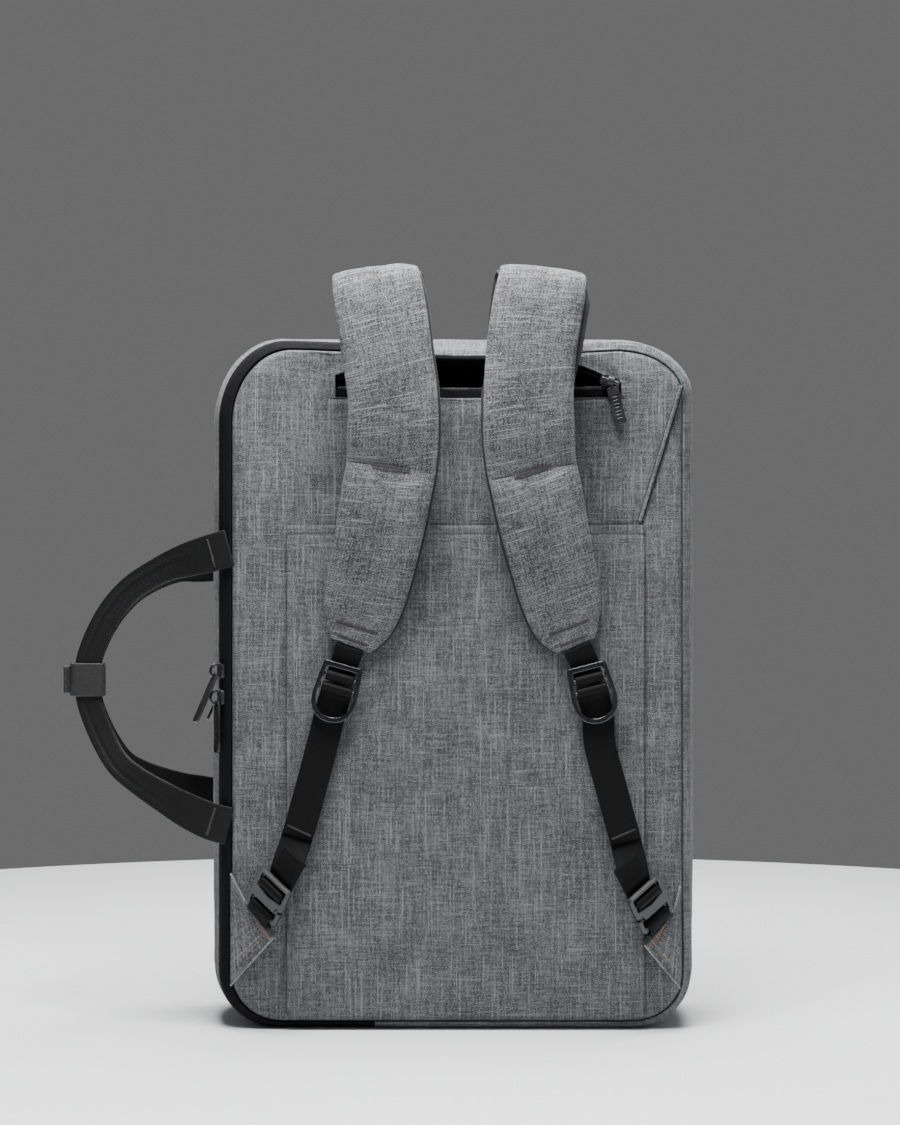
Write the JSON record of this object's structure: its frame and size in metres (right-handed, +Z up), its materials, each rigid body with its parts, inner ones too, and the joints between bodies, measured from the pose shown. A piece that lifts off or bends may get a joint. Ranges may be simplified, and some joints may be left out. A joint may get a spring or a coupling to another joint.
{
  "type": "convertible backpack",
  "caption": "Convertible backpack standing upright: soft rectangular body, padded shoulder straps coming out of a zipped slot in the back panel, and side carry handles.",
  "frame": {"origin": "middle of the flat base that the bag stands on", "axes": "+Z up out of the base, -Y out of the back panel that lies against the wearer, -X towards the side with the carry handles"},
  "size_m": [0.4129, 0.1553, 0.4845],
  "materials": {
    "body_fabric": "mottled grey plain weave",
    "strap_fabric": "mottled darker grey weave over padding",
    "lining": "black mesh and lining cloth",
    "webbing": "black woven nylon webbing",
    "zip_tape": "black zip tape with moulded coil",
    "wrap": "black imitation leather, fine grain",
    "adjuster_plastic": "glossy black moulded plastic",
    "hook_plastic": "matte dark grey moulded plastic",
    "slider_metal": "dark lacquered metal, worn at the edges"
  },
  "bodies": {
    "bag": {"back_panel": "body_fabric", "luggage_sleeve": "body_fabric", "front_panel": "body_fabric", "gusset": "body_fabric", "back_piping": "body_fabric", "front_piping": "body_fabric", "wing_left": "body_fabric", "wing_right": "body_fabric", "strap_pad_left": "strap_fabric", "strap_pad_right": "strap_fabric", "strap_lining_left": "lining", "strap_lining_right": "lining", "strap_pocket": "lining", "upper_webbing_left": "webbing", "upper_webbing_right": "webbing", "lower_webbing_left": "webbing", "lower_webbing_right": "webbing", "wing_loop_left": "webbing", "wing_loop_right": "webbing", "handle_back": "webbing", "handle_front": "webbing", "back_zip": "zip_tape", "front_zip": "zip_tape", "slot_tape_lower": "zip_tape", "slot_tape_upper": "zip_tape", "handle_wrap": "wrap", "adjuster_left": "adjuster_plastic", "adjuster_right": "adjuster_plastic", "hook_left": "hook_plastic", "hook_right": "hook_plastic", "slot_slider": "slider_metal", "side_slider_back_upper": "slider_metal", "side_slider_back_lower": "slider_metal", "side_slider_front": "slider_metal"},
    "slot_pull": {"slot_pull": "slider_metal"},
    "side_pull_back_upper": {"side_pull_back_upper": "slider_metal"},
    "side_pull_back_lower": {"side_pull_back_lower": "slider_metal"},
    "side_pull_front": {"side_pull_front": "slider_metal"}
  },
  "joints": [
    {"name": "slot_pull_hinge", "type": "hinge", "parent": "bag", "child": "slot_pull", "pos_m": [0.1, -0.05765, 0.41281], "axis": [-0.9511, 0, 0.309], "range_deg": [-8, 150]},
    {"name": "side_pull_back_upper_hinge", "type": "hinge", "parent": "bag", "child": "side_pull_back_upper", "pos_m": [-0.15064, -0.04782, 0.2285], "axis": [-0.4695, 0.8829, 0], "range_deg": [0, 110]},
    {"name": "side_pull_back_lower_hinge", "type": "hinge", "parent": "bag", "child": "side_pull_back_lower", "pos_m": [-0.15064, -0.04782, 0.2115], "axis": [-0.4695, 0.8829, 0], "range_deg": [-3, 32]},
    {"name": "side_pull_front_hinge", "type": "hinge", "parent": "bag", "child": "side_pull_front", "pos_m": [-0.15064, 0.04782, 0.222], "axis": [0.4695, 0.8829, 0], "range_deg": [0, 110]}
  ]
}
